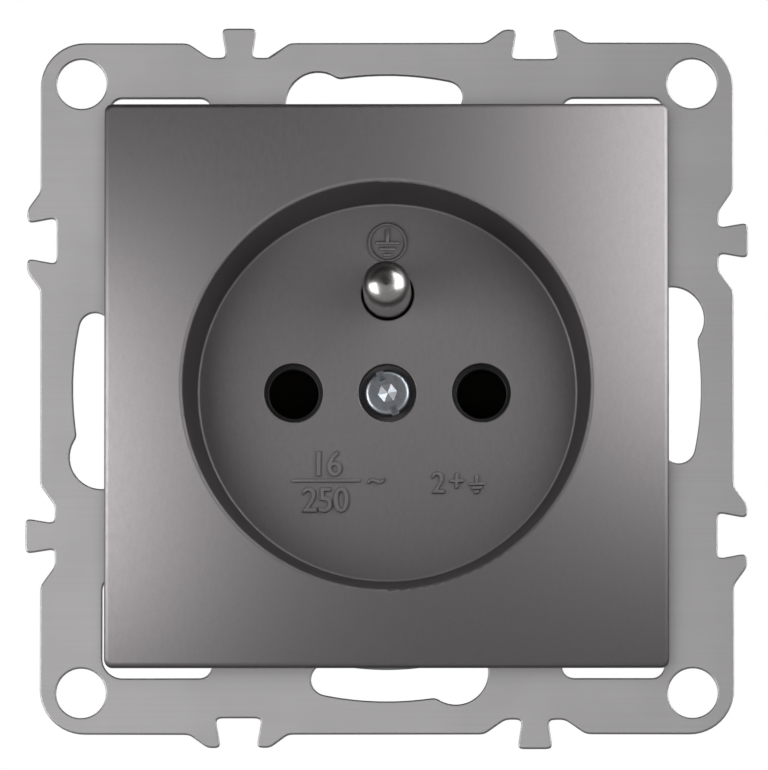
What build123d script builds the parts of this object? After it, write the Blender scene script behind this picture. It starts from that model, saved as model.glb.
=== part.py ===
from build123d import *
import math
import os

# Flush wall socket with an earth pin, shown without its bezel. Millimetres.
# X runs to the viewer's right, Z up, and Y into the wall. The origin is on the
# socket's axis in the wall plane, where the rear face of the mounting frame lies.

# Stamped steel mounting frame
frame_size = 69.8
frame_thickness = 1.0
frame_corner_radius = 4.5
corner_hole_inset = 4.15
corner_hole_diameter = 5.0
opening_ledge = 0.4

# Dovetail tongue and notch that link neighbouring frames on every edge
link_offset = 14.9
link_fillet = 0.3
tongue_tip_width = 3.6
tongue_waist_width = 2.54
tongue_height = 1.47
relief_depth = 1.5
relief_floor_width = 6.1
relief_mouth_width = 10.2
notch_neck_width = 3.5
notch_floor_width = 4.7
notch_depth = 1.64
lug_height = 1.36
lug_top_width = 6.3
lug_foot_width = 9.9

# Keyhole slots for the wall box screws, on a 60 mm circle about the axis
keyhole_inset = 4.9
keyhole_width = 3.2
keyhole_entry_diameter = 6.5
keyhole_entry_inset = 0.5
keyhole_entry_angle = 13.6
keyhole_plain_angle = 11.6

# Slots beside the corners, with the insets of their outer edge and of their middle
# from the frame's edges; the one at the lower left turns up the side of the cover
slot_width = 2.5
slot_length = 10.2
slot_corner_radius = 1.2
slot_edge_inset = 5.65
slot_middle_inset = 12.15
side_slot_length = 10.1
side_slot_inset = 6.3
side_slot_corner_radius = 2.0

# Moulded cover plate and its round well
cover_size = 56.7
cover_face = 5.0
cover_wall = 1.7
cover_corner_radius = 0.8
cover_edge_radius = 0.45
skirt_depth = 2.4
well_mouth_diameter = 41.0
well_floor_diameter = 38.4
well_depth = 10.5
well_wall = 1.6
well_corner_radius = 0.3
floor_thickness = 1.8

# Contact holes, earth pin and cover screw in the well's floor
contact_pitch = 19.0
contact_hole_diameter = 5.9
hole_edge_radius = 0.15
earth_offset = 10.0
earth_pin_diameter = 4.8
earth_pin_length = 14.0
earth_hole_diameter = 5.3
earth_collar_diameter = 8.0
earth_collar_length = 2.0
earth_rivet_diameter = 3.6
earth_rivet_head_diameter = 5.2
earth_rivet_head_length = 1.0
cover_screw_diameter = 3.0
cover_screw_length = 16.5
cover_screw_head_diameter = 4.7
cover_screw_head_height = 1.7
cover_screw_sink = 0.2
cover_screw_turn = 69.0
cover_screw_hole_diameter = 5.8
cover_boss_wall = 1.4
cover_boss_seat = 1.6
cover_nut_diameter = 5.4
cover_nut_length = 7.0
cover_nut_depth = 1.0

# Moulded base with a round cup in front and the terminal block behind
cup_wall = 1.6
cup_floor = 2.0
base_wall = 2.2
base_corner_radius = 4.0
base_edge_radius = 1.2
retainer_thickness = 2.0
pocket_foot = 3.0

# Folded contact forks and their screw terminals
fork_gap = 5.0
fork_strip = 0.8
fork_rise = 3.2
fork_depth = 17.0
terminal_drop = 10.5
terminal_depth = 18.0
terminal_width = 8.0
wire_space = 2.2
wire_hole_diameter = 3.4
wire_hole_offset = 3.1
clamp_thickness = 1.2
terminal_screw_diameter = 3.5
terminal_screw_length = 6.0
terminal_head_diameter = 5.8
terminal_head_height = 2.2
terminal_head_sink = 1.1
earth_strap_thickness = 1.2
earth_strap_width = 10.0
strap_bend_radius = 0.8

# Spreader claws, their screws, and the screws that hold the base to the frame
claw_screw_x = 23.9
claw_screw_z = 11.0
claw_screw_diameter = 2.5
claw_screw_length = 22.0
claw_thickness = 1.0
claw_width = 6.0
claw_length = 20.0
claw_front = 2.0
claw_bend_radius = 0.5
claw_tooth_depth = 1.6
ramp_rib_thickness = 1.2
ramp_crest_length = 4.0
frame_screw_diameter = 2.9
frame_screw_length = 8.0
frame_boss_diameter = 6.0
small_head_diameter = 4.8
small_head_height = 1.5
driver_slot_width = 0.8
driver_slot_depth = 0.8
screw_edge_share = 0.2

# Clearances
loose = 0.3
close = 0.1
well_gap = 0.5

# Places, depths and radii that follow from the sizes above
frame_half = frame_size / 2
corner_hole_pitch = frame_size - 2 * corner_hole_inset
box_screw_radius = frame_half - keyhole_inset
slot_x = frame_half - slot_middle_inset
slot_z = frame_half - slot_edge_inset - slot_width / 2
face_depth = -cover_face
floor_depth = face_depth + well_depth
floor_rear = floor_depth + floor_thickness
seat_depth = floor_rear + retainer_thickness
well_mouth_radius = well_mouth_diameter / 2
well_floor_radius = well_floor_diameter / 2
well_draft = (well_mouth_radius - well_floor_radius) / well_depth
well_radius_at_wall = well_mouth_radius - well_draft * cover_face + well_wall
cup_inner_radius = well_radius_at_wall + well_gap
cup_outer_radius = cup_inner_radius + cup_wall
opening_radius = cup_inner_radius + opening_ledge
contact_x = contact_pitch / 2
fork_half = fork_gap / 2 + fork_strip
fork_front = seat_depth + loose
fork_rear = fork_front + fork_depth
pocket_rear = fork_rear + loose
base_rear = pocket_rear + base_wall
terminal_stack = wire_space + clamp_thickness + terminal_head_height + terminal_head_sink
line_tab = contact_x + fork_half
base_side = line_tab + terminal_stack
earth_tab = earth_offset + earth_collar_diameter / 2 + close + earth_strap_thickness
base_top = earth_tab + terminal_stack
base_bottom = terminal_drop + terminal_width / 2 + loose + pocket_foot
claw_screw_radius = claw_screw_diameter / 2


def slab(outline, front, rear):
    """Solid of a front-view outline, X across and Z up, between two depths."""
    return extrude(Plane.XZ.offset(-rear) * outline, rear - front)


def span(left, right, low, high):
    """Front-view rectangle between two sides and two heights."""
    return Pos((left + right) / 2, (low + high) / 2) * Rectangle(right - left, high - low)


def block(left, right, front, rear, low, high):
    """Plain block between two sides, two depths and two heights."""
    return slab(span(left, right, low, high), front, rear)


def rod(diameter, front, rear):
    """Round bar along the socket's axis between two depths."""
    return slab(Circle(diameter / 2), front, rear)


def turned(profile):
    """Solid turned about the depth axis from a profile of radius against depth."""
    return revolve(profile, Axis.Y)


def screw(head_diameter, head_height, diameter, length):
    """Slotted screw along the depth axis, with the underside of its head at depth 0."""
    head_edge = min(head_height, head_diameter) * screw_edge_share
    head = rod(head_diameter, -head_height, 0)
    head = fillet(head.edges().group_by(Axis.Y)[0], head_edge)
    reach = head_diameter / 2 + close
    half_slot = driver_slot_width / 2
    slot = block(-reach, reach, -head_height - close, driver_slot_depth - head_height, -half_slot, half_slot)
    return head + rod(diameter, 0, length) - slot


def mirrored(part):
    """The same piece on the other side of the socket's upright middle plane."""
    return mirror(part, about=Plane.YZ)


def edge_links(plate):
    """Adds the tongue and the notch of all four edges to the frame's outline."""
    relief = Polygon(
        (-relief_mouth_width / 2, 0),
        (-relief_floor_width / 2, -relief_depth),
        (relief_floor_width / 2, -relief_depth),
        (relief_mouth_width / 2, 0),
    )
    tongue = Polygon(
        (-tongue_waist_width / 2, -relief_depth),
        (tongue_waist_width / 2, -relief_depth),
        (tongue_tip_width / 2, tongue_height),
        (-tongue_tip_width / 2, tongue_height),
    )
    lugs = Polygon(
        (-lug_foot_width / 2, 0),
        (lug_foot_width / 2, 0),
        (lug_top_width / 2, lug_height),
        (-lug_top_width / 2, lug_height),
    )
    notch = Polygon(
        (-notch_floor_width / 2, -notch_depth),
        (notch_floor_width / 2, -notch_depth),
        (notch_neck_width / 2, lug_height),
        (-notch_neck_width / 2, lug_height),
    )
    for turn in range(4):
        tongue_place = Rot(0, 0, -90 * turn) * Pos(-link_offset, frame_half)
        notch_place = Rot(0, 0, -90 * turn) * Pos(link_offset, frame_half)
        plate = plate - tongue_place * relief + tongue_place * tongue
        plate = plate + notch_place * lugs - notch_place * notch
    link_reach = link_offset + max(lug_foot_width, relief_mouth_width) / 2 + link_fillet
    corners = [v for v in plate.vertices() if min(abs(v.X), abs(v.Y)) < link_reach]
    return fillet(corners, link_fillet)


def keyhole():
    """Arc slot at the top of the frame, with the round end that lets a screw head through."""
    start = 90 - keyhole_plain_angle
    sweep_angle = keyhole_plain_angle + keyhole_entry_angle
    arc = CenterArc((0, 0), box_screw_radius, start, sweep_angle)
    entry_radius = box_screw_radius - keyhole_entry_inset
    entry = Rot(0, 0, keyhole_entry_angle) * Pos(0, entry_radius) * Circle(keyhole_entry_diameter / 2)
    return SlotArc(arc, keyhole_width) + entry


def side_slot():
    """Angled slot at the lower left, along the side of the cover and under its edge."""
    left = side_slot_inset - frame_half
    low = slot_edge_inset - frame_half
    right = slot_length / 2 - slot_x
    high = low + side_slot_length
    outline = span(left, right, low, low + slot_width) + span(left, left + slot_width, low, high)
    ends = [v for v in outline.vertices() if v.X > right - close or v.Y > high - close]
    outline = fillet(ends, slot_corner_radius)
    corner = outline.vertices().sort_by_distance((left, low, 0))[0]
    return fillet(corner, side_slot_corner_radius)


def mounting_frame():
    """Flat stamping with linking edges, screw slots and the opening for the socket."""
    plate = edge_links(RectangleRounded(frame_size, frame_size, frame_corner_radius))
    plate -= GridLocations(corner_hole_pitch, corner_hole_pitch, 2, 2) * Circle(corner_hole_diameter / 2)
    for turn in range(4):
        plate -= Rot(0, 0, -90 * turn) * keyhole()
    slot = RectangleRounded(slot_length, slot_width, slot_corner_radius)
    plate -= GridLocations(2 * slot_x, 2 * slot_z, 2, 2) * slot
    plate -= side_slot()
    plate -= Circle(opening_radius)
    claw_hole = Circle(claw_screw_radius + loose)
    base_hole = Circle(frame_screw_diameter / 2 + close)
    for turn in (0, 180):
        plate -= Rot(0, 0, turn) * Pos(-claw_screw_x, claw_screw_z) * claw_hole
        plate -= Rot(0, 0, turn) * Pos(claw_screw_z, claw_screw_x) * base_hole
    return slab(plate, -frame_thickness, 0)


def cover_plate():
    """One moulding: square plate with a short skirt, and the tapered well through it."""
    skirt_rear = face_depth + skirt_depth
    plate = slab(RectangleRounded(cover_size, cover_size, cover_corner_radius), face_depth, skirt_rear)
    inner_size = cover_size - 2 * cover_wall
    plate -= slab(Rectangle(inner_size, inner_size), face_depth + cover_wall, skirt_rear)
    plate += turned(
        Polygon(
            (0, face_depth),
            (well_mouth_radius + well_wall, face_depth),
            (well_floor_radius + well_wall - well_draft * floor_thickness, floor_rear),
            (0, floor_rear),
        )
    )
    boss_diameter = cover_screw_hole_diameter + 2 * cover_boss_wall
    boss_rear = floor_depth + cover_screw_sink + cover_screw_head_height + cover_boss_seat
    plate += rod(boss_diameter, floor_depth, boss_rear)
    plate -= turned(
        Polygon((0, face_depth), (0, floor_depth), (well_floor_radius, floor_depth), (well_mouth_radius, face_depth))
    )
    plate = fillet(plate.faces().sort_by(Axis.Y)[0].edges(), cover_edge_radius)
    corner = [
        e
        for e in plate.edges().filter_by(GeomType.CIRCLE)
        if abs(e.radius - well_floor_radius) < close and abs(e.center().Y - floor_depth) < close
    ]
    plate = fillet(corner, well_corner_radius)
    contact_hole = rod(contact_hole_diameter, floor_depth, floor_rear)
    plate -= Pos(contact_x, 0, 0) * contact_hole
    plate -= Pos(-contact_x, 0, 0) * contact_hole
    plate -= Pos(0, 0, earth_offset) * rod(earth_hole_diameter, floor_depth, floor_rear)
    head_seat = floor_depth + cover_screw_sink + cover_screw_head_height
    plate -= rod(cover_screw_hole_diameter, floor_depth, head_seat)
    plate -= rod(cover_screw_diameter + 2 * close, head_seat, boss_rear)
    rims = [
        e
        for e in plate.edges().filter_by(GeomType.CIRCLE)
        if e.radius < well_floor_radius / 2 and abs(e.center().Y - floor_depth) < close
    ]
    return fillet(rims, hole_edge_radius)


def cover_screw():
    """Screw in the middle of the well that holds the cover plate to the base."""
    head_seat = floor_depth + cover_screw_sink + cover_screw_head_height
    piece = screw(cover_screw_head_diameter, cover_screw_head_height, cover_screw_diameter, cover_screw_length)
    return Pos(0, head_seat, 0) * Rot(0, cover_screw_turn, 0) * piece


def cover_nut():
    """Brass bush pressed into the base, which the cover screw turns into."""
    front = seat_depth + cover_nut_depth
    bush = rod(cover_nut_diameter, front, front + cover_nut_length)
    return bush - rod(cover_screw_diameter + close, front, front + cover_nut_length)


def contact_retainer():
    """Insulating disc between the cover's well and the base that keeps the contacts in."""
    disc = Circle(cup_inner_radius - loose)
    for side in (-1, 1):
        disc -= Pos(side * contact_x, 0) * Circle(fork_gap / 2)
    disc -= Pos(0, earth_offset) * Circle(earth_pin_diameter / 2 + close)
    disc -= Circle(cover_screw_hole_diameter / 2 + cover_boss_wall + loose)
    return slab(disc, floor_rear, seat_depth)


def wire_holes(x, z, along_x):
    """Pair of round wire entries through the rear of the base, beside a terminal screw."""
    hole = rod(wire_hole_diameter, seat_depth, base_rear)
    shift = (wire_hole_offset, 0, 0) if along_x else (0, 0, wire_hole_offset)
    pair = Pos(*shift) * hole + Pos(*(-s for s in shift)) * hole
    return Pos(x, 0, z) * pair


def ramp_ribs():
    """Two ribs astride the left claw screw, whose slope throws the claw outwards."""
    tip = claw_screw_x + claw_screw_radius
    ramp_front = seat_depth
    ramp_crest = ramp_front + ramp_crest_length
    ramp_rear = claw_front + claw_length
    root = base_side - base_wall
    profile = Polygon(
        (-tip, ramp_front),
        (-root, ramp_front),
        (-root, ramp_rear),
        (-base_side, ramp_rear),
        (-tip, ramp_crest),
    )
    inner = claw_screw_radius + loose
    low = extrude(Plane.XY.offset(claw_screw_z - inner - ramp_rib_thickness) * profile, ramp_rib_thickness)
    high = extrude(Plane.XY.offset(claw_screw_z + inner) * profile, ramp_rib_thickness)
    return low + high


def half_turn(part):
    """The same piece turned half round the socket's axis."""
    return Rot(0, 180, 0) * part


def base_body():
    """Insulating base: round cup for the well in front, terminal block behind."""
    cup = Circle(cup_outer_radius)
    for turn in (0, 180):
        boss = Pos(claw_screw_z, claw_screw_x) * Circle(frame_boss_diameter / 2)
        lean = math.degrees(math.atan2(claw_screw_z, claw_screw_x))
        reach = math.hypot(claw_screw_x, claw_screw_z)
        web = Rot(0, 0, -lean) * span(-frame_boss_diameter / 2, frame_boss_diameter / 2, 0, reach)
        cup += Rot(0, 0, turn) * (boss + web)
    body = slab(cup, 0, seat_depth + cup_floor)
    height = base_top + base_bottom
    outline = Pos(0, (base_top - base_bottom) / 2) * RectangleRounded(2 * base_side, height, base_corner_radius)
    rear_block = slab(outline, seat_depth, base_rear)
    body += fillet(rear_block.edges().group_by(Axis.Y)[-1], base_edge_radius)
    ribs = ramp_ribs()
    body += ribs + half_turn(ribs)
    body -= slab(Circle(cup_inner_radius), 0, seat_depth)
    pocket_low = -terminal_drop - terminal_width / 2 - loose
    pocket_high = fork_half + loose
    pocket_inner = contact_x - fork_half - loose
    pocket_outer = line_tab + wire_space + clamp_thickness + loose
    line_cuts = block(pocket_inner, pocket_outer, seat_depth, pocket_rear, pocket_low, pocket_high)
    window = Rot(0, 0, 90) * rod(terminal_head_diameter + 2 * loose, -base_side, -contact_x)
    line_cuts += Pos(0, terminal_depth, -terminal_drop) * window
    line_cuts += wire_holes(line_tab + wire_space / 2, -terminal_drop, False)
    body = body - line_cuts - mirrored(line_cuts)
    earth_half = earth_strap_width / 2 + loose
    earth_low = earth_offset - earth_collar_diameter / 2 - loose
    earth_high = earth_tab + wire_space + clamp_thickness + loose
    earth_rear = terminal_depth + terminal_width / 2 + loose
    body -= block(-earth_half, earth_half, seat_depth, earth_rear, earth_low, earth_high)
    earth_window = Rot(-90, 0, 0) * rod(terminal_head_diameter + 2 * loose, -base_top, -earth_tab)
    body -= Pos(0, terminal_depth, 0) * earth_window
    body -= wire_holes(0, earth_tab + wire_space / 2, True)
    nut_rear = seat_depth + cover_nut_depth + cover_nut_length
    screw_rear = floor_depth + cover_screw_sink + cover_screw_head_height + cover_screw_length + loose
    body -= rod(cover_nut_diameter, seat_depth, nut_rear)
    body -= rod(cover_screw_diameter + 2 * loose, nut_rear, screw_rear)
    pilot = rod(frame_screw_diameter, 0, frame_screw_length)
    pilot = Pos(claw_screw_z, 0, claw_screw_x) * pilot
    return body - pilot - half_turn(pilot)


def line_contact():
    """Right-hand contact: strip folded into a trough for the plug's pin, a terminal tab cut from its bend."""
    inner = fork_gap / 2
    trough = Circle(fork_half) - Circle(inner) - span(-fork_half, fork_half, 0, fork_half)
    trough += span(inner, fork_half, 0, fork_rise) + span(-fork_half, -inner, 0, fork_rise)
    piece = Pos(contact_x, 0, 0) * slab(trough, fork_front, fork_rear)
    tab_front = terminal_depth - terminal_width / 2
    tab_rear = terminal_depth + terminal_width / 2
    tab_low = -terminal_drop - terminal_width / 2
    cut_left = contact_x - fork_half
    piece -= block(cut_left, line_tab, tab_front - fork_strip, tab_rear + fork_strip, -fork_half, 0)
    piece += block(line_tab - fork_strip, line_tab, tab_front, tab_rear, tab_low, 0)
    thread = Rot(0, 0, 90) * rod(terminal_screw_diameter + close, -line_tab, -contact_x)
    return piece - Pos(0, terminal_depth, -terminal_drop) * thread


def clamp_plate():
    """Square plate that a terminal screw presses on the wire, lying flat at depth 0."""
    plate = RectangleRounded(terminal_width, terminal_width, clamp_thickness)
    plate -= Circle(terminal_screw_diameter / 2 + loose)
    return slab(plate, 0, clamp_thickness)


def terminal_screw():
    """Screw that tightens a terminal's clamp plate."""
    return screw(terminal_head_diameter, terminal_head_height, terminal_screw_diameter, terminal_screw_length)


def earth_pin():
    """Turned pin with a round tip, a collar behind the retainer and a riveted end."""
    radius = earth_pin_diameter / 2
    tip = floor_depth - earth_pin_length
    collar_rear = seat_depth + earth_collar_length
    strap_rear = collar_rear + earth_strap_thickness
    rivet_rear = strap_rear + earth_rivet_head_length
    round_end = CenterArc((0, tip + radius), radius, -90, 90)
    side = Polyline(
        (radius, tip + radius),
        (radius, seat_depth),
        (earth_collar_diameter / 2, seat_depth),
        (earth_collar_diameter / 2, collar_rear),
        (earth_rivet_diameter / 2, collar_rear),
        (earth_rivet_diameter / 2, strap_rear),
        (earth_rivet_head_diameter / 2, strap_rear),
        (earth_rivet_head_diameter / 2, rivet_rear),
        (0, rivet_rear),
        (0, tip),
    )
    return Pos(0, 0, earth_offset) * turned(make_face(round_end + side))


def folded(profile, outer, inner, radius, thickness):
    """Rounds the outer and inner corner of a sheet's fold."""
    outer_corner = profile.vertices().sort_by_distance(outer)[0]
    profile = fillet(outer_corner, radius + thickness)
    inner_corner = profile.vertices().sort_by_distance(inner)[0]
    return fillet(inner_corner, radius)


def earth_strap():
    """Strip that carries the earth pin and folds back to the earth terminal."""
    front = seat_depth + earth_collar_length
    rear = front + earth_strap_thickness
    low = earth_offset - earth_collar_diameter / 2
    tab_low = earth_tab - earth_strap_thickness
    tab_rear = terminal_depth + terminal_width / 2
    profile = Polygon(
        (front, low),
        (rear, low),
        (rear, tab_low),
        (tab_rear, tab_low),
        (tab_rear, earth_tab),
        (front, earth_tab),
    )
    profile = folded(profile, (front, earth_tab, 0), (rear, tab_low, 0), strap_bend_radius, earth_strap_thickness)
    strap = extrude(Plane.YZ * profile, earth_strap_width / 2, both=True)
    strap -= Pos(0, 0, earth_offset) * rod(earth_rivet_diameter, front, rear)
    thread = Rot(-90, 0, 0) * rod(terminal_screw_diameter + close, -earth_tab, -earth_offset)
    return strap - Pos(0, terminal_depth, 0) * thread


def claw():
    """Left claw: sheet angle whose forked foot sits on its screw and whose toothed leg bites."""
    inner = claw_screw_radius + loose
    leg_inner = claw_screw_x + inner
    leg_outer = leg_inner + claw_thickness
    foot_end = claw_screw_x - claw_screw_radius
    leg_rear = claw_front + claw_length
    foot_rear = claw_front + claw_thickness
    profile = Polygon(
        (-leg_outer, claw_front),
        (-foot_end, claw_front),
        (-foot_end, foot_rear),
        (-leg_inner, foot_rear),
        (-leg_inner, leg_rear - claw_tooth_depth),
        (-leg_outer, leg_rear),
    )
    bend_outer = (-leg_outer, claw_front, 0)
    bend_inner = (-leg_inner, foot_rear, 0)
    profile = folded(profile, bend_outer, bend_inner, claw_bend_radius, claw_thickness)
    low = claw_screw_z - claw_width / 2
    piece = extrude(Plane.XY.offset(low) * profile, claw_width)
    piece -= block(-leg_inner, 0, claw_front, foot_rear, claw_screw_z - inner, claw_screw_z + inner)
    third = claw_width / 3
    for step in (1, 2):
        valley = claw_screw_z - claw_width / 2 + step * third
        gap = Polygon(
            (leg_rear - claw_tooth_depth, valley),
            (leg_rear + close, valley - third / 2),
            (leg_rear + close, valley + third / 2),
        )
        piece -= Pos(-leg_outer - close, 0, 0) * extrude(Plane.YZ * gap, claw_thickness + 2 * close)
    return piece


def claw_screw():
    """Left claw screw, through the frame and along the side of the base."""
    piece = screw(small_head_diameter, small_head_height, claw_screw_diameter, claw_screw_length)
    return Pos(-claw_screw_x, -frame_thickness, claw_screw_z) * piece


def frame_screw():
    """Upper screw that holds the base against the rear of the frame."""
    piece = screw(small_head_diameter, small_head_height, frame_screw_diameter, frame_screw_length)
    return Pos(claw_screw_z, -frame_thickness, claw_screw_x) * piece


def line_place(part):
    """Puts a terminal piece on the right-hand line terminal, its head to the right."""
    return Pos(line_tab + wire_space + clamp_thickness, terminal_depth, -terminal_drop) * Rot(0, 0, 90) * part


def earth_place(part):
    """Puts a terminal piece on the earth terminal, its head upwards."""
    return Pos(0, terminal_depth, earth_tab + wire_space + clamp_thickness) * Rot(-90, 0, 0) * part


parts = {
    "mounting_frame": mounting_frame(),
    "cover_plate": cover_plate(),
    "cover_screw": cover_screw(),
    "cover_nut": cover_nut(),
    "contact_retainer": contact_retainer(),
    "base_body": base_body(),
    "line_contact_right": line_contact(),
    "line_contact_left": mirrored(line_contact()),
    "line_clamp_right": line_place(clamp_plate()),
    "line_clamp_left": mirrored(line_place(clamp_plate())),
    "line_screw_right": line_place(terminal_screw()),
    "line_screw_left": mirrored(line_place(terminal_screw())),
    "earth_pin": earth_pin(),
    "earth_strap": earth_strap(),
    "earth_clamp": earth_place(clamp_plate()),
    "earth_screw": earth_place(terminal_screw()),
    "claw_left": claw(),
    "claw_right": half_turn(claw()),
    "claw_screw_left": claw_screw(),
    "claw_screw_right": half_turn(claw_screw()),
    "frame_screw_upper": frame_screw(),
    "frame_screw_lower": half_turn(frame_screw()),
}

os.makedirs("parts", exist_ok=True)
for name, part in parts.items():
    export_step(part, f"parts/{name}.step")
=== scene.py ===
import math

import bmesh
import bpy
from mathutils import Matrix, Vector


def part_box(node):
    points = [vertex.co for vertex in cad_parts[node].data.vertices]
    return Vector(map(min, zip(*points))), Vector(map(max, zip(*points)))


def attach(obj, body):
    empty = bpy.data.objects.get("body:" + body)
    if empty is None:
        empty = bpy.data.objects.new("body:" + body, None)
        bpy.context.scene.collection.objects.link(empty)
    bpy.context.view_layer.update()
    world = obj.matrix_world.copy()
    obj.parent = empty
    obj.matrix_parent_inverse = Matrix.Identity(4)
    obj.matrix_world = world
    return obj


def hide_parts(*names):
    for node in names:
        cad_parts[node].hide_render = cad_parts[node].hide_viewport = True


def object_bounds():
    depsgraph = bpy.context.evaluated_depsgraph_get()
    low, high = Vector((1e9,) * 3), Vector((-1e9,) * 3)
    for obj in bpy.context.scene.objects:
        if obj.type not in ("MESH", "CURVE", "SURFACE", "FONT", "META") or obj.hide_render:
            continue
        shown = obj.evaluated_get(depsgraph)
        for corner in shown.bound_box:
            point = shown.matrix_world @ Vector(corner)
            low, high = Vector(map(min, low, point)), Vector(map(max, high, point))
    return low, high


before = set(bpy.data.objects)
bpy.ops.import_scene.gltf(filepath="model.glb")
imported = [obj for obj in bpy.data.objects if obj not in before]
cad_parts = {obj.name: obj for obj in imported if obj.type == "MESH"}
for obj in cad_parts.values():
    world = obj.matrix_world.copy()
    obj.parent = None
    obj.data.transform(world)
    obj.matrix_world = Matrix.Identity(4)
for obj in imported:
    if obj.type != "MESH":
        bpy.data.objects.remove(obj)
cad_low, cad_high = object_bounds()

# Base body: one black glass-filled polyamide moulding. The round cup in front
# takes the cover's well, and the block behind it holds the contacts, with wire
# entries at the rear, screw windows at the sides and ribs that carry the claws.
mm = 0.001
weld_distance = 0.002 * mm
flat_angle = math.radians(0.4)
sharp_angle = math.radians(32)
smooth_limit = math.cos(sharp_angle)
edge_segments = 2
grain_low = 0.3
grain_high = 0.7
grain_detail = 3.0
grain_roughness = 0.55
polyamide_black = (0.021, 0.021, 0.023, 1)
polyamide_tones = (0.8, 1.25)
polyamide_skin_scale = 5200
polyamide_patch_scale = 2600
polyamide_roughness = (0.47, 0.55)
polyamide_relief = (0.35, 0.02 * mm)
polyamide_edge = 0.22 * mm


def add_node(tree, kind, settings=None, **inputs):
    """A shader node; each input is a value, or the output of another node to link."""
    made = tree.nodes.new(kind)
    for name, value in (settings or {}).items():
        setattr(made, name, value)
    for name, value in inputs.items():
        socket = made.inputs[name.replace("_", " ")]
        if isinstance(value, bpy.types.NodeSocket):
            tree.links.new(value, socket)
        else:
            socket.default_value = value
    return made


def finish_of(name, metallic=0.0):
    """A new material with one Principled shader; returns it with its node tree and shader."""
    material = bpy.data.materials.new(name)
    material.use_nodes = True
    shader = material.node_tree.nodes["Principled BSDF"]
    shader.inputs["Metallic"].default_value = metallic
    return material, material.node_tree, shader


grain_group = bpy.data.node_groups.new("surface_grain", "ShaderNodeTree")
grain_group.interface.new_socket("Scale", in_out="INPUT", socket_type="NodeSocketFloat")
grain_group.interface.new_socket("Stretch", in_out="INPUT", socket_type="NodeSocketVector")
grain_group.interface.new_socket("Grain", in_out="OUTPUT", socket_type="NodeSocketFloat")
grain_in = grain_group.nodes.new("NodeGroupInput")
grain_out = grain_group.nodes.new("NodeGroupOutput")
grain_place = add_node(grain_group, "ShaderNodeTexCoord")
grain_turn = add_node(
    grain_group,
    "ShaderNodeMapping",
    Vector=grain_place.outputs["Object"],
    Scale=grain_in.outputs["Stretch"],
)
grain_noise = add_node(
    grain_group,
    "ShaderNodeTexNoise",
    Vector=grain_turn.outputs["Vector"],
    Scale=grain_in.outputs["Scale"],
    Detail=grain_detail,
    Roughness=grain_roughness,
)
grain_group.links.new(grain_noise.outputs["Fac"], grain_out.inputs["Grain"])


def grain(tree, scale, stretch=(1, 1, 1)):
    """Value of the shared grain; it runs in lines along an axis whose stretch is small."""
    made = add_node(tree, "ShaderNodeGroup", {"node_tree": grain_group}, Scale=scale, Stretch=stretch)
    return made.outputs["Grain"]


def spread(tree, value, low, high):
    """Stretches the middle of a grain's values to the range from low to high."""
    made = add_node(
        tree,
        "ShaderNodeMapRange",
        Value=value,
        From_Min=grain_low,
        From_Max=grain_high,
        To_Min=low,
        To_Max=high,
    )
    return made.outputs["Result"]


def roughen(tree, shader, value, low, high):
    """Roughness that varies with a grain between two values."""
    tree.links.new(spread(tree, value, low, high), shader.inputs["Roughness"])


def relief(tree, shader, height, strength, depth):
    """Bump of a grain on a shader's normal."""
    bump = add_node(tree, "ShaderNodeBump", Strength=strength, Distance=depth, Height=height)
    tree.links.new(bump.outputs["Normal"], shader.inputs["Normal"])


def tinted(tree, shader, value, dark, light):
    """Base colour that varies with a value between two tones."""
    tone = add_node(tree, "ShaderNodeMixRGB", Fac=value, Color1=dark, Color2=light)
    tree.links.new(tone.outputs["Color"], shader.inputs["Base Color"])


def shades(color, *factors):
    """Darker and lighter tones of a colour."""
    return [tuple(channel * factor for channel in color[:3]) + (1,) for factor in factors]


def piece_from(bm, name, strips=(), crease=sharp_angle):
    """An object of a finished bmesh; its faces keep their own normals beside narrow edge strips."""
    bm.normal_update()
    bm.verts.index_update()
    edge_faces = set(strips)
    normals = [Vector() for _ in bm.verts]
    for vert in bm.verts if edge_faces else ():
        corners = [c for c in vert.link_loops if c.face not in edge_faces]
        mean = sum((c.face.normal * c.calc_angle() for c in corners), Vector()).normalized()
        if all(mean.dot(c.face.normal) > smooth_limit for c in corners):
            normals[vert.index] = mean
    mesh = bpy.data.meshes.new(name)
    bm.to_mesh(mesh)
    bm.free()
    mesh.shade_smooth()
    mesh.set_sharp_from_angle(angle=crease)
    if edge_faces:
        mesh.normals_split_custom_set_from_vertices(normals)
    piece = bpy.data.objects.new(name, mesh)
    bpy.context.scene.collection.objects.link(piece)
    return piece


def dress(piece, body, slot, material, *nodes):
    """Gives a piece its finish, its body and the solids that it stands for."""
    piece.data.materials.clear()
    piece.data.materials.append(material)
    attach(piece, body)
    if nodes:
        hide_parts(*nodes)


def round_edges(bm, edges, width):
    """Rounds edges to a small width and returns the new faces."""
    rounded = bmesh.ops.bevel(
        bm,
        geom=edges,
        offset=width,
        segments=edge_segments,
        profile=0.5,
        affect="EDGES",
        clamp_overlap=True,
        material=-1,
    )
    return rounded["faces"]


def eased_copy(node, edge):
    """A welded copy of a solid whose sharp edges are rounded to a small width."""
    bm = bmesh.new()
    bm.from_mesh(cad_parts[node].data)
    bmesh.ops.remove_doubles(bm, verts=bm.verts, dist=weld_distance)
    bmesh.ops.dissolve_limit(bm, angle_limit=flat_angle, verts=bm.verts, edges=bm.edges)
    sharp = [e for e in bm.edges if e.calc_face_angle(0) > sharp_angle]
    return piece_from(bm, node + "_eased", round_edges(bm, sharp, edge))


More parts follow.
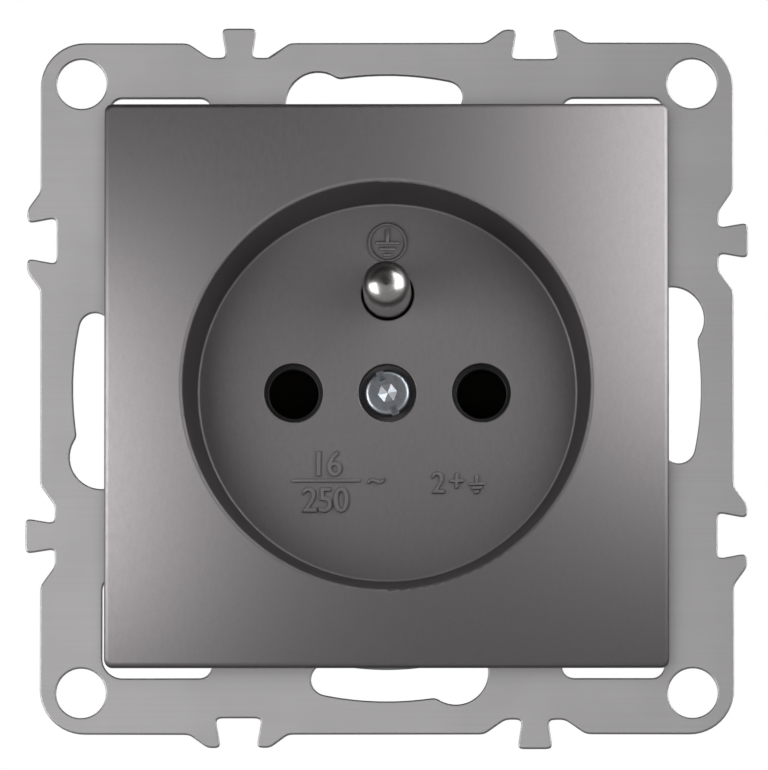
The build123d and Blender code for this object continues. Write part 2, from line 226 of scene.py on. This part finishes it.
polyamide, tree, shader = finish_of("moulded_polyamide")
skin = grain(tree, polyamide_skin_scale)
tinted(tree, shader, skin, *shades(polyamide_black, *polyamide_tones))
roughen(tree, shader, grain(tree, polyamide_patch_scale), *polyamide_roughness)
relief(tree, shader, skin, *polyamide_relief)

dress(eased_copy("base_body", polyamide_edge), "socket", "base_plastic", polyamide, "base_body")

# Contact retainer: a flat disc of the same polyamide, which lies on the base
# behind the cover's well and keeps the contacts in their pockets.
retainer_edge = 0.12 * mm

retainer = eased_copy("contact_retainer", retainer_edge)
dress(retainer, "socket", "base_plastic", polyamide, "contact_retainer")

# Contact forks, earth strap and cover nut: bright brass. The forks and the strap
# are cut and folded from rolled strip, and the nut is turned and pressed in.
brass_yellow = (0.74, 0.52, 0.2, 1)
brass_tones = (0.86, 1.1)
brass_grain_scale = 2600
brass_grain_stretch = (1, 1, 0.06)
brass_roughness = (0.24, 0.38)
brass_relief = (0.2, 0.01 * mm)
strip_edge = 0.08 * mm

brass, tree, shader = finish_of("bright_brass", metallic=1.0)
rolling = grain(tree, brass_grain_scale, brass_grain_stretch)
tinted(tree, shader, rolling, *shades(brass_yellow, *brass_tones))
roughen(tree, shader, rolling, *brass_roughness)
relief(tree, shader, rolling, *brass_relief)

for node in ("line_contact_left", "line_contact_right", "earth_strap", "cover_nut"):
    dress(eased_copy(node, strip_edge), "socket", "contact_brass", brass, node)

# Terminal clamps: square zinc-plated steel plates under the terminal screws,
# with rounded corners, which press the wire on its contact tab.
zinc_blue = (0.49, 0.58, 0.62, 1)
zinc_violet = (0.55, 0.53, 0.58, 1)
zinc_bloom_scale = 700
zinc_pit_scale = 4200
zinc_roughness = (0.29, 0.43)
zinc_relief = (0.35, 0.02 * mm)
clamp_edge = 0.15 * mm

zinc, tree, shader = finish_of("blue_zinc", metallic=1.0)
bloom = grain(tree, zinc_bloom_scale)
tinted(tree, shader, spread(tree, bloom, 0.0, 1.0), zinc_violet, zinc_blue)
pits = grain(tree, zinc_pit_scale)
roughen(tree, shader, pits, *zinc_roughness)
relief(tree, shader, pits, *zinc_relief)

for node in ("line_clamp_left", "line_clamp_right", "earth_clamp"):
    dress(eased_copy(node, clamp_edge), "socket", "zinc_steel", zinc, node)

# Earth pin: turned brass with polished nickel plate. The tip is a half ball, and
# fine rings of the turning tool run round the shank.
nickel_grey = (0.53, 0.515, 0.505, 1)
nickel_tones = (0.94, 1.05)
nickel_ring_scale = 6000
nickel_ring_stretch = (0.01, 1, 0.01)
nickel_roughness = (0.26, 0.33)
nickel_relief = (0.12, 0.005 * mm)


def repaint(node, material):
    """Gives a solid, whose own faces are smooth, its finish."""
    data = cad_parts[node].data
    data.materials.clear()
    data.materials.append(material)


nickel, tree, shader = finish_of("polished_nickel", metallic=1.0)
rings = grain(tree, nickel_ring_scale, nickel_ring_stretch)
tinted(tree, shader, rings, *shades(nickel_grey, *nickel_tones))
roughen(tree, shader, rings, *nickel_roughness)
relief(tree, shader, rings, *nickel_relief)

repaint("earth_pin", nickel)

# Mounting frame: stamped from 1 mm zinc-plated steel strip. The rolling lines run
# level, the edges that the punch drew in are rounded, and so are the corners of the
# links and keyholes, where the punch is worn.
steel_grey = (0.37, 0.362, 0.367, 1)
steel_tones = (0.95, 1.05)
steel_line_scale = 3800
steel_line_stretch = (0.012, 1, 1)
steel_cloud_scale = 90
steel_roughness = (0.42, 0.5)
steel_relief = (0.22, 0.008 * mm)
sheet_facing = 0.99
punched_edge = 0.2 * mm
burr_edge = 0.06 * mm
edge_steps = 3
wear_step = 0.1 * mm
wear_share = 0.5
link_band = (32 * mm, math.inf, 25 * mm)
link_facet = math.radians(20)
link_passes = 40
keyhole_band = (23 * mm, 31.5 * mm, 11 * mm)
keyhole_passes = 30


def in_band(place, near, far, side):
    """Whether a place lies between two distances from the middle and near the middle of a side."""
    across, out = sorted((abs(place.x), abs(place.z)))
    return across < side and near < out < far


def wear_corners(bm, band, facet, passes):
    """Rounds the corners of open walls in a band, whose arcs first get facets of a given angle."""
    worn = [v for v in bm.verts if in_band(v.co, *band)]
    picked = set(worn)
    edges = [e for e in bm.edges if picked.intersection(e.verts)]
    bmesh.ops.dissolve_limit(bm, angle_limit=facet, verts=worn, edges=edges)
    picked = {v for v in bm.verts if in_band(v.co, *band)}
    cuts = {}
    for edge in bm.edges:
        if edge.is_boundary and picked.intersection(edge.verts):
            count = math.ceil(edge.calc_length() / wear_step) - 1
            cuts.setdefault(count, []).append(edge)
    for count, edges in cuts.items():
        if count:
            bmesh.ops.subdivide_edges(bm, edges=edges, cuts=count)
    worn = [v for v in bm.verts if in_band(v.co, *band)]
    for _ in range(passes):
        bmesh.ops.smooth_vert(bm, verts=worn, factor=wear_share, use_axis_x=True, use_axis_z=True)


frame_steel, tree, shader = finish_of("rolled_zinc_steel", metallic=1.0)
lines = grain(tree, steel_line_scale, steel_line_stretch)
tinted(tree, shader, lines, *shades(steel_grey, *steel_tones))
roughen(tree, shader, grain(tree, steel_cloud_scale), *steel_roughness)
relief(tree, shader, lines, *steel_relief)

bm = bmesh.new()
bm.from_mesh(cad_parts["mounting_frame"].data)
bmesh.ops.remove_doubles(bm, verts=bm.verts, dist=weld_distance)
bm.normal_update()
depths = [v.co.y for v in bm.verts]
levels = (min(depths), max(depths))
faces = [f for f in bm.faces if abs(f.normal.y) > sheet_facing]
bmesh.ops.delete(bm, geom=faces, context="FACES")
bmesh.ops.dissolve_limit(bm, angle_limit=flat_angle, verts=bm.verts, edges=bm.edges)
wear_corners(bm, link_band, link_facet, link_passes)
wear_corners(bm, keyhole_band, flat_angle, keyhole_passes)
bmesh.ops.dissolve_limit(bm, angle_limit=flat_angle, verts=bm.verts, edges=bm.edges)
sheets = []
for level in levels:
    rim = [e for e in bm.edges if e.is_boundary and abs(e.verts[0].co.y - level) < weld_distance]
    filled = bmesh.ops.triangle_fill(bm, edges=rim, use_beauty=True)["geom"]
    sheets.append([g for g in filled if isinstance(g, bmesh.types.BMFace)])
bmesh.ops.recalc_face_normals(bm, faces=bm.faces)
rolled = []
for sheet, level, outward, radius in zip(sheets, levels, (-1, 1), (punched_edge, burr_edge)):
    inset = 0.0
    for step in range(edge_steps + 1):
        turn = math.pi / 2 * step / edge_steps
        reach = radius * (1 - math.cos(turn))
        if step:
            strip = bmesh.ops.inset_region(
                bm,
                faces=sheet,
                use_boundary=True,
                use_even_offset=True,
                thickness=reach - inset,
            )
            rolled += strip["faces"]
        inset = reach
        inner = set(sheet)
        rim = {v for f in sheet for v in f.verts if any(g not in inner for g in v.link_faces)}
        for vert in rim:
            vert.co.y = level - outward * radius * (1 - math.sin(turn))
plate = piece_from(bm, "mounting_frame_rolled", rolled)
dress(plate, "socket", "frame_steel", frame_steel, "mounting_frame")

# Spreader claws: bent from the same plated strip. Each has a forked foot round
# its screw and a toothed leg, and swings outwards as the screw draws it up.
for side in ("left", "right"):
    node = "claw_" + side
    dress(eased_copy(node, strip_edge), node, "frame_steel", frame_steel, node)

# Screws: cold-headed, zinc-plated and thread-rolled. The head is a low dome with
# a driver slot, and the cover screw has a pyramid recess in the middle as well.
head_rounding_share = 0.3
head_segments = 96
head_steps = 8
head_crease = math.radians(18)
slot_half = 0.38 * mm
slot_floor = 0.56 * mm
slot_start = 1.38 * mm
slot_end_run = 0.12 * mm
slot_edge = 0.08 * mm
recess_radius = 0.98 * mm
recess_depth = 0.43 * mm
recess_turn = math.radians(40)
recess_sides = 6
thread_steps = 28
thread_depth_share = 0.6
fine_pitch = 0.5 * mm
shank_radii = {"claw": 1.25 * mm, "frame": 1.45 * mm}
long_head_height = 1.5 * mm
terminal_head = (2.9 * mm, 2.2 * mm)
terminal_shank_radius = 1.75 * mm
terminal_pitch = 0.6 * mm
cover_head = (2.35 * mm, 1.7 * mm)
cover_shank_radius = 1.5 * mm
cover_slot_turn = math.radians(-69)


def verts_of(geometry):
    """The vertices in what an operator returns."""
    return [g for g in geometry if isinstance(g, bmesh.types.BMVert)]


def edges_of(geometry):
    """The edges in what an operator returns."""
    return [g for g in geometry if isinstance(g, bmesh.types.BMEdge)]


def edges_at(verts):
    """The edges that meet at vertices, each once and in order."""
    return list(dict.fromkeys(e for v in verts for e in v.link_edges))


def domed_head(bm, radius, height, recess):
    """Head with its top towards +Z at height 0, closed below; returns how far its rim is rounded."""
    rounding = head_rounding_share * height
    flat = radius - rounding
    around = Matrix.Rotation(recess_turn, 4, "Z")
    rim = []
    if recess:
        bmesh.ops.create_circle(
            bm, cap_ends=True, segments=recess_sides, radius=recess_radius, matrix=around
        )
        bmesh.ops.subdivide_edges(bm, edges=bm.edges[:], cuts=head_segments // recess_sides - 1)
        rim = bm.edges[:]
        for apex in bmesh.ops.poke(bm, faces=bm.faces[:])["verts"]:
            apex.co.z = -recess_depth
    circle = bmesh.ops.create_circle(
        bm, cap_ends=not recess, segments=head_segments, radius=flat, matrix=around
    )
    ring = edges_at(circle["verts"])
    if recess:
        bmesh.ops.bridge_loops(bm, edges=rim + ring)
    for step in range(1, head_steps + 2):
        bend = math.pi / 2 * min(step, head_steps) / head_steps
        grown = bmesh.ops.extrude_edge_only(bm, edges=ring)["geom"]
        for vert in verts_of(grown):
            outward = vert.co.xy.normalized() * (flat + rounding * math.sin(bend))
            drop = height if step > head_steps else rounding * (1 - math.cos(bend))
            vert.co = (outward.x, outward.y, -drop)
        ring = [e for e in edges_of(grown) if e.is_boundary]
    bmesh.ops.edgeloop_fill(bm, edges=ring)
    return rounding


def screw_head(bm, radius, height, turn, recess):
    """Domed head, slotted at an angle; a recess leaves the slot at the rim only."""
    rounding = domed_head(bm, radius, height, recess)
    along = Vector((math.cos(turn), math.sin(turn), 0))
    across = Vector((-math.sin(turn), math.cos(turn), 0))
    start = slot_start if recess else 0.0
    cuts = [(across * slot_half, across), (across * -slot_half, across)]
    if recess:
        cuts += [(along * start, along), (along * -start, along)]
    for point, normal in cuts:
        top = [f for f in bm.faces if f.calc_center_median().z > -rounding]
        geometry = list(dict.fromkeys(g for f in top for g in (f, *f.edges, *f.verts)))
        bmesh.ops.bisect_plane(bm, geom=geometry, dist=weld_distance, plane_co=point, plane_no=normal)
    slot = []
    for face in bm.faces:
        middle = face.calc_center_median()
        beside = abs(middle.dot(across)) < slot_half and abs(middle.dot(along)) >= start
        if middle.z > -rounding and beside:
            slot.append(face)
    sunk = verts_of(bmesh.ops.extrude_face_region(bm, geom=slot)["geom"])
    bmesh.ops.delete(bm, geom=slot, context="FACES")
    for vert in sunk:
        vert.co.z = min(vert.co.z, -slot_floor)
        if recess and abs(vert.co.dot(along)) < start + slot_end_run:
            vert.co += along * math.copysign(slot_end_run, vert.co.dot(along))
    bmesh.ops.remove_doubles(bm, verts=bm.verts, dist=weld_distance)
    bmesh.ops.recalc_face_normals(bm, faces=bm.faces)
    crisp = []
    for edge in bm.edges:
        high = max(v.co.z for v in edge.verts)
        if edge.calc_face_angle(0) > sharp_angle and high > -slot_floor / 2:
            crisp.append(edge)
    round_edges(bm, crisp, slot_edge)


def screw_shank(bm, radius, start, length, pitch):
    """Rolled thread down -Z from start, with flat ends."""
    root = radius - thread_depth_share * pitch
    profile = ((root, 0, pitch), (radius, 0, pitch / 2), (root, 0, 0))
    chain = [bm.verts.new(co) for co in profile]
    sides = [bm.edges.new(pair) for pair in zip(chain, chain[1:])]
    turns = math.ceil(length / pitch) + 1
    bmesh.ops.translate(bm, verts=chain, vec=(0, 0, start))
    bmesh.ops.spin(
        bm,
        geom=chain + sides,
        cent=(0, 0, 0),
        axis=(0, 0, 1),
        dvec=(0, 0, -pitch / thread_steps),
        angle=2 * math.pi * turns,
        steps=thread_steps * turns,
    )
    bmesh.ops.remove_doubles(bm, verts=bm.verts, dist=weld_distance)
    for level, outward in ((start, 1), (start - length, -1)):
        cut = bmesh.ops.bisect_plane(
            bm,
            geom=bm.verts[:] + bm.edges[:] + bm.faces[:],
            dist=weld_distance,
            plane_co=(0, 0, level),
            plane_no=(0, 0, outward),
            clear_outer=True,
        )
        bmesh.ops.edgeloop_fill(bm, edges=edges_of(cut["geom_cut"]))


def made_screw(node, head, shank, place, turn=0.0, recess=False):
    """A screw with (radius, height) of its head and (radius, length, pitch) of its shank."""
    bm = bmesh.new()
    screw_shank(bm, shank[0], -head[1] / 2, shank[1] + head[1] / 2, shank[2])
    head_mesh = bmesh.new()
    screw_head(head_mesh, head[0], head[1], turn, recess)
    spare = bpy.data.meshes.new("spare")
    head_mesh.to_mesh(spare)
    head_mesh.free()
    bm.from_mesh(spare)
    bpy.data.meshes.remove(spare)
    bmesh.ops.recalc_face_normals(bm, faces=bm.faces)
    bmesh.ops.transform(bm, matrix=place, verts=bm.verts)
    piece = piece_from(bm, node + "_threaded", crease=head_crease)
    dress(piece, "socket", "zinc_steel", zinc, node)


towards_front = Matrix.Rotation(math.radians(90), 4, "X")
towards_right = Matrix.Rotation(math.radians(90), 4, "Y")
towards_left = Matrix.Rotation(math.radians(-90), 4, "Y")
upwards = Matrix.Identity(4)

for node in ("claw_screw_left", "claw_screw_right", "frame_screw_upper", "frame_screw_lower"):
    low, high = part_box(node)
    head = ((high.x - low.x) / 2, long_head_height)
    middle = Vector(((low.x + high.x) / 2, low.y, (low.z + high.z) / 2))
    shank = (shank_radii[node.split("_")[0]], high.y - low.y - head[1], fine_pitch)
    made_screw(node, head, shank, Matrix.Translation(middle) @ towards_front)

for node, facing in (
    ("line_screw_left", towards_left),
    ("line_screw_right", towards_right),
    ("earth_screw", upwards),
):
    low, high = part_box(node)
    outward = (facing @ Vector((0, 0, 1))).normalized()
    middle = (low + high) / 2
    reach = max(high - low) / 2
    shank = (terminal_shank_radius, 2 * reach - terminal_head[1], terminal_pitch)
    made_screw(node, terminal_head, shank, Matrix.Translation(middle + outward * reach) @ facing)

low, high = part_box("cover_screw")
shank = (cover_shank_radius, high.y - low.y - cover_head[1], fine_pitch)
place = Matrix.Translation((0, low.y, 0)) @ towards_front
made_screw("cover_screw", cover_head, shank, place, cover_slot_turn, recess=True)

# Cover plate: moulded in one piece and sprayed satin graphite from the front. The
# paint is full of fine aluminium flakes with a faint upright grain, and the steep
# walls of the well and the sides are darkened with painted shade.
graphite = (0.31, 0.295, 0.302, 1)
flake_tones = (0.9, 1.1)
flake_scale = 7000
flake_stretch = (1, 1, 0.45)
flake_relief = (0.25, 0.006 * mm)
paint_patch_scale = 2200
paint_patch_stretch = (1, 1, 0.4)
paint_roughness = (0.575, 0.645)
# Painted shade: the facing at which the darkening of steep walls starts and is full, and how dark it
# gets.
unshaded_lean = -0.9
shaded_lean = -0.25
painted_wall_shade = 0.4

paint, tree, shader = finish_of("graphite_paint", metallic=1.0)
flakes = grain(tree, flake_scale, flake_stretch)
dark, light = shades(graphite, *flake_tones)
speckle = add_node(tree, "ShaderNodeMixRGB", Fac=flakes, Color1=dark, Color2=light)
facing = add_node(tree, "ShaderNodeTexCoord")
lean = add_node(tree, "ShaderNodeSeparateXYZ", Vector=facing.outputs["Normal"])
# Painted shade: the base colour darkens as a face turns from the front towards the side, so the well
# walls and sides look shaded.
painted_shade = add_node(
    tree,
    "ShaderNodeMapRange",
    Value=lean.outputs["Y"],
    From_Min=unshaded_lean,
    From_Max=shaded_lean,
    To_Min=1.0,
    To_Max=painted_wall_shade,
)
shaded_paint = add_node(
    tree,
    "ShaderNodeHueSaturation",
    Value=painted_shade.outputs["Result"],
    Color=speckle.outputs["Color"],
)
tree.links.new(shaded_paint.outputs["Color"], shader.inputs["Base Color"])
roughen(tree, shader, grain(tree, paint_patch_scale, paint_patch_stretch), *paint_roughness)
relief(tree, shader, flakes, *flake_relief)

repaint("cover_plate", paint)

# Moulded marks: low raised strokes on the floor of the well, painted with it. The
# earth sign stands in a ring over its pin, and plain ratings below the contacts.
floor_depth = 5.5 * mm
mark_height = 0.26 * mm
mark_rounding = 0.09 * mm
stroke = 0.34 * mm
figure_width_share = 0.9
figure_height_share = 0.72
figure_weight = 0.06 * mm
figure_steps = 6
rule_x = -6.2 * mm
rule_z = -8.9 * mm
rule_length = 6.9 * mm
sign_x = 0.0
sign_z = 15.2 * mm
sign_radius = 2.02 * mm
sign_segments = 96
sign_stem_share = 0.6
sign_step_share = 0.25
sign_row_shares = (1.0, 0.68, 0.36)


def raised_bar(bm, x, z, width, height):
    """Raised stroke with its middle at a place on the floor."""
    size = Matrix.Diagonal((width, 2 * mark_height, height, 1))
    place = Matrix.Translation((x, floor_depth, z))
    made = bmesh.ops.create_cube(bm, size=1, matrix=place @ size)
    round_edges(bm, edges_at(made["verts"]), mark_rounding)


def earth_sign(bm, x, z, size):
    """Stem over three shortening bars; size is the length of the longest."""
    stem = sign_stem_share * size
    raised_bar(bm, x, z + stem / 2, stroke, stem)
    for row, length in enumerate(sign_row_shares):
        raised_bar(bm, x, z - row * sign_step_share * size, length * size, stroke)


def raised_text(words, x, z, height):
    """Mesh of raised figures whose first stands with its foot at a place on the floor."""
    curve = bpy.data.curves.new("figures", "FONT")
    curve.body = words
    curve.size = height / figure_height_share
    curve.extrude = mark_height - mark_rounding
    curve.bevel_depth = mark_rounding
    curve.offset = figure_weight - mark_rounding
    curve.resolution_u = figure_steps
    text = bpy.data.objects.new("figures", curve)
    bpy.context.scene.collection.objects.link(text)
    bpy.context.view_layer.update()
    mesh = bpy.data.meshes.new_from_object(text)
    bpy.data.objects.remove(text)
    bpy.data.curves.remove(curve)
    narrow = Matrix.Diagonal((figure_width_share, 1, 1, 1))
    mesh.transform(Matrix.Translation((x, floor_depth, z)) @ towards_front @ narrow)
    return mesh


marks = bmesh.new()
ring_profile = (
    (sign_radius - stroke, mark_height),
    (sign_radius - stroke, -mark_height + mark_rounding),
    (sign_radius - stroke + mark_rounding, -mark_height),
    (sign_radius - mark_rounding, -mark_height),
    (sign_radius, -mark_height + mark_rounding),
    (sign_radius, mark_height),
)
middle = Vector((sign_x, floor_depth, sign_z))
chain = [marks.verts.new(middle + Vector((r, depth, 0))) for r, depth in ring_profile]
edges = [marks.edges.new((chain[i - 1], chain[i])) for i in range(len(chain))]
bmesh.ops.spin(
    marks,
    geom=chain + edges,
    cent=middle,
    axis=(0, 1, 0),
    angle=2 * math.pi,
    steps=sign_segments,
    use_merge=True,
)
for x, z, size in (
    (sign_x, sign_z - 0.02 * mm, 2.4 * mm),
    (9.0 * mm, -9.25 * mm, 1.6 * mm),
):
    earth_sign(marks, x, z, size)
raised_bar(marks, rule_x, rule_z, rule_length, stroke)
for words, x, z, height in (
    ("16", -7.75 * mm, -8.4 * mm, 2.55 * mm),
    ("250", -8.65 * mm, -12.05 * mm, 2.55 * mm),
    ("~", -2.0 * mm, -9.8 * mm, 2.3 * mm),
    ("2", 4.45 * mm, -10.15 * mm, 2.2 * mm),
    ("+", 6.2 * mm, -10.0 * mm, 2.2 * mm),
):
    figures = raised_text(words, x, z, height)
    marks.from_mesh(figures)
    bpy.data.meshes.remove(figures)
bmesh.ops.remove_doubles(marks, verts=marks.verts, dist=weld_distance)
bmesh.ops.recalc_face_normals(marks, faces=marks.faces)
dress(piece_from(marks, "moulded_marks"), "socket", "cover_paint", paint)

# Studio: a pale floor that shows only from above and throws little light back, a
# white background behind the socket and a dim room before it. Soft panels light
# the socket from either side and from behind; frame and floor have their own.
floor_gap = 0.4 * mm
floor_size = 3.0
floor_pale = (0.82, 0.82, 0.82, 1)
floor_roughness = 0.9
floor_glow = 0.2
floor_bounce = 0.23
white = (1, 1, 1, 1)
backdrop_edge = 0.35
room_levels = (
    (-1, 0.01),
    (-0.74, 0.01),
    (-0.66, 0.08),
    (-0.46, 0.08),
    (-0.38, 0.02),
    (0.3, 0.02),
    (0.4, 0.48),
)


def reckon(tree, operation, first, second):
    """Result of a math step on two node outputs; the second may be a plain number."""
    made = add_node(tree, "ShaderNodeMath", {"operation": operation})
    tree.links.new(first, made.inputs[0])
    if isinstance(second, bpy.types.NodeSocket):
        tree.links.new(second, made.inputs[1])
    else:
        made.inputs[1].default_value = second
    return made.outputs["Value"]


def blend(tree, share, first, second):
    """Mix of two shaders, by the share of the second."""
    made = add_node(tree, "ShaderNodeMixShader", Fac=share)
    tree.links.new(first, made.inputs[1])
    tree.links.new(second, made.inputs[2])
    return made.outputs["Shader"]


bm = bmesh.new()
bmesh.ops.create_grid(
    bm,
    x_segments=1,
    y_segments=1,
    size=floor_size / 2,
    matrix=Matrix.Translation((0, 0, cad_low.z - floor_gap)),
)
floor = piece_from(bm, "floor")
pale, tree, shader = finish_of("pale_floor")
shader.inputs["Roughness"].default_value = floor_roughness
shader.inputs["Emission Color"].default_value = white
path = add_node(tree, "ShaderNodeLightPath")
tinted(tree, shader, path.outputs["Is Camera Ray"], *shades(floor_pale, floor_bounce, 1.0))
shown = reckon(tree, "MAXIMUM", path.outputs["Is Camera Ray"], path.outputs["Is Glossy Ray"])
glow = add_node(tree, "ShaderNodeMapRange", Value=shown, To_Max=floor_glow)
tree.links.new(glow.outputs["Result"], shader.inputs["Emission Strength"])
side = add_node(tree, "ShaderNodeNewGeometry")
clear = add_node(tree, "ShaderNodeBsdfTransparent")
seen = blend(tree, side.outputs["Backfacing"], shader.outputs["BSDF"], clear.outputs["BSDF"])
tree.links.new(seen, tree.nodes["Material Output"].inputs["Surface"])
floor.data.materials.append(pale)

world = bpy.data.worlds.new("studio")
world.use_nodes = True
bpy.context.scene.world = world
tree = world.node_tree
direction = add_node(tree, "ShaderNodeTexCoord")
axes = add_node(tree, "ShaderNodeSeparateXYZ", Vector=direction.outputs["Generated"])
depth = add_node(tree, "ShaderNodeMapRange", Value=axes.outputs["Y"], From_Min=-1, From_Max=1)
brightness = add_node(tree, "ShaderNodeValToRGB", Fac=depth.outputs["Result"])
stops = brightness.color_ramp.elements
ready = len(stops)
for step, (cosine, level) in enumerate(room_levels):
    stop = stops[step] if step < ready else stops.new(1)
    stop.position = (1 + cosine) / 2
    stop.color = (level, level, level, 1)
room = tree.nodes["Background"]
tree.links.new(brightness.outputs["Color"], room.inputs["Color"])
room.inputs["Strength"].default_value = 1.0
backdrop = add_node(tree, "ShaderNodeBackground", Color=white, Strength=1.0)
path = add_node(tree, "ShaderNodeLightPath")
behind = reckon(tree, "GREATER_THAN", axes.outputs["Y"], backdrop_edge)
mirrored = reckon(tree, "MAXIMUM", path.outputs["Is Glossy Ray"], path.outputs["Is Transmission Ray"])
reflected = reckon(tree, "MULTIPLY", behind, mirrored)
shown = reckon(tree, "MAXIMUM", path.outputs["Is Camera Ray"], reflected)
mixed = blend(tree, shown, room.outputs["Background"], backdrop.outputs["Background"])
tree.links.new(mixed, tree.nodes["World Output"].inputs["Surface"])


def group_of(name, objects):
    """A collection of objects, for the light of a lamp."""
    group = bpy.data.collections.new(name)
    for thing in objects:
        group.objects.link(thing)
    return group


def soft_lamp(name, place, facing, size, power, receivers, blockers=()):
    """Soft panel that lights the given objects; the blockers, or else all objects, shade them."""
    data = bpy.data.lights.new(name, "AREA")
    data.shape = "RECTANGLE"
    data.size, data.size_y = size
    data.energy = power
    lamp = bpy.data.objects.new(name, data)
    lamp.location = place
    lamp.rotation_mode = "QUATERNION"
    lamp.rotation_quaternion = Vector(facing).to_track_quat("-Z", "Y")
    lamp.visible_camera = False
    bpy.context.scene.collection.objects.link(lamp)
    lamp.light_linking.receiver_collection = group_of(name + "_lit", receivers)
    if blockers:
        lamp.light_linking.blocker_collection = group_of(name + "_shading", blockers)


meshes = [o for o in bpy.context.scene.objects if o.type == "MESH"]
unflagged = [o for o in meshes if o not in (plate, floor)]
soft_lamp(
    "lamp_left",
    place=(-0.058, -0.02, -0.006),
    facing=(0.362, 0.932, 0),
    size=(0.0676, 0.0373),
    power=0.029,
    receivers=unflagged,
)
soft_lamp(
    "lamp_right",
    place=(0.058, -0.02, 0.0266),
    facing=(-0.362, 0.932, 0),
    size=(0.073, 0.063),
    power=0.0468,
    receivers=unflagged,
)
soft_lamp(
    "lamp_frame",
    place=(-0.085, -0.25, -0.01),
    facing=(0, 1, 0),
    size=(0.3, 0.3),
    power=0.35,
    receivers=[plate],
    blockers=[plate],
)
soft_lamp(
    "lamp_edge_left",
    place=(-0.3, -0.08, -0.06),
    facing=(1, 0.25, 0.2),
    size=(0.2, 0.3),
    power=0.8,
    receivers=[plate],
    blockers=[plate],
)
soft_lamp(
    "lamp_edge_right",
    place=(0.28, -0.08, 0.1),
    facing=(-1, 0.25, -0.35),
    size=(0.2, 0.3),
    power=0.9,
    receivers=[plate],
    blockers=[plate],
)
soft_lamp(
    "lamp_rear",
    place=(0.35, 0.7, 0.5),
    facing=(-0.35, -0.7, -0.5),
    size=(0.8, 0.8),
    power=5.5,
    receivers=unflagged + [plate],
)
soft_lamp(
    "lamp_floor",
    place=(-0.4, -0.5, 1.2),
    facing=(0.4, 0.5, -1.2),
    size=(0.9, 0.9),
    power=13,
    receivers=[floor],
)

# Camera: a long lens in front of the socket, a little below its middle and to the
# right of its axis, so that the upper wall of the well shows.
view_turn = math.radians(0.6)
view_rise = math.radians(-4.4)
view_distance = 1.6
view_target = Vector((-0.0003, 0, 0.00036))
pixels_per_metre = 9930
image_width = 768

camera_data = bpy.data.cameras.new("camera")
camera = bpy.data.objects.new("camera", camera_data)
bpy.context.scene.collection.objects.link(camera)
back = Vector(
    (
        math.sin(view_turn) * math.cos(view_rise),
        -math.cos(view_turn) * math.cos(view_rise),
        math.sin(view_rise),
    )
)
camera.location = view_target + back * view_distance
camera.rotation_mode = "QUATERNION"
camera.rotation_quaternion = (-back).to_track_quat("-Z", "Y")
camera_data.sensor_fit = "HORIZONTAL"
camera_data.lens = camera_data.sensor_width * pixels_per_metre * view_distance / image_width
bpy.context.scene.camera = camera
bpy.context.scene.view_settings.view_transform = "Standard"
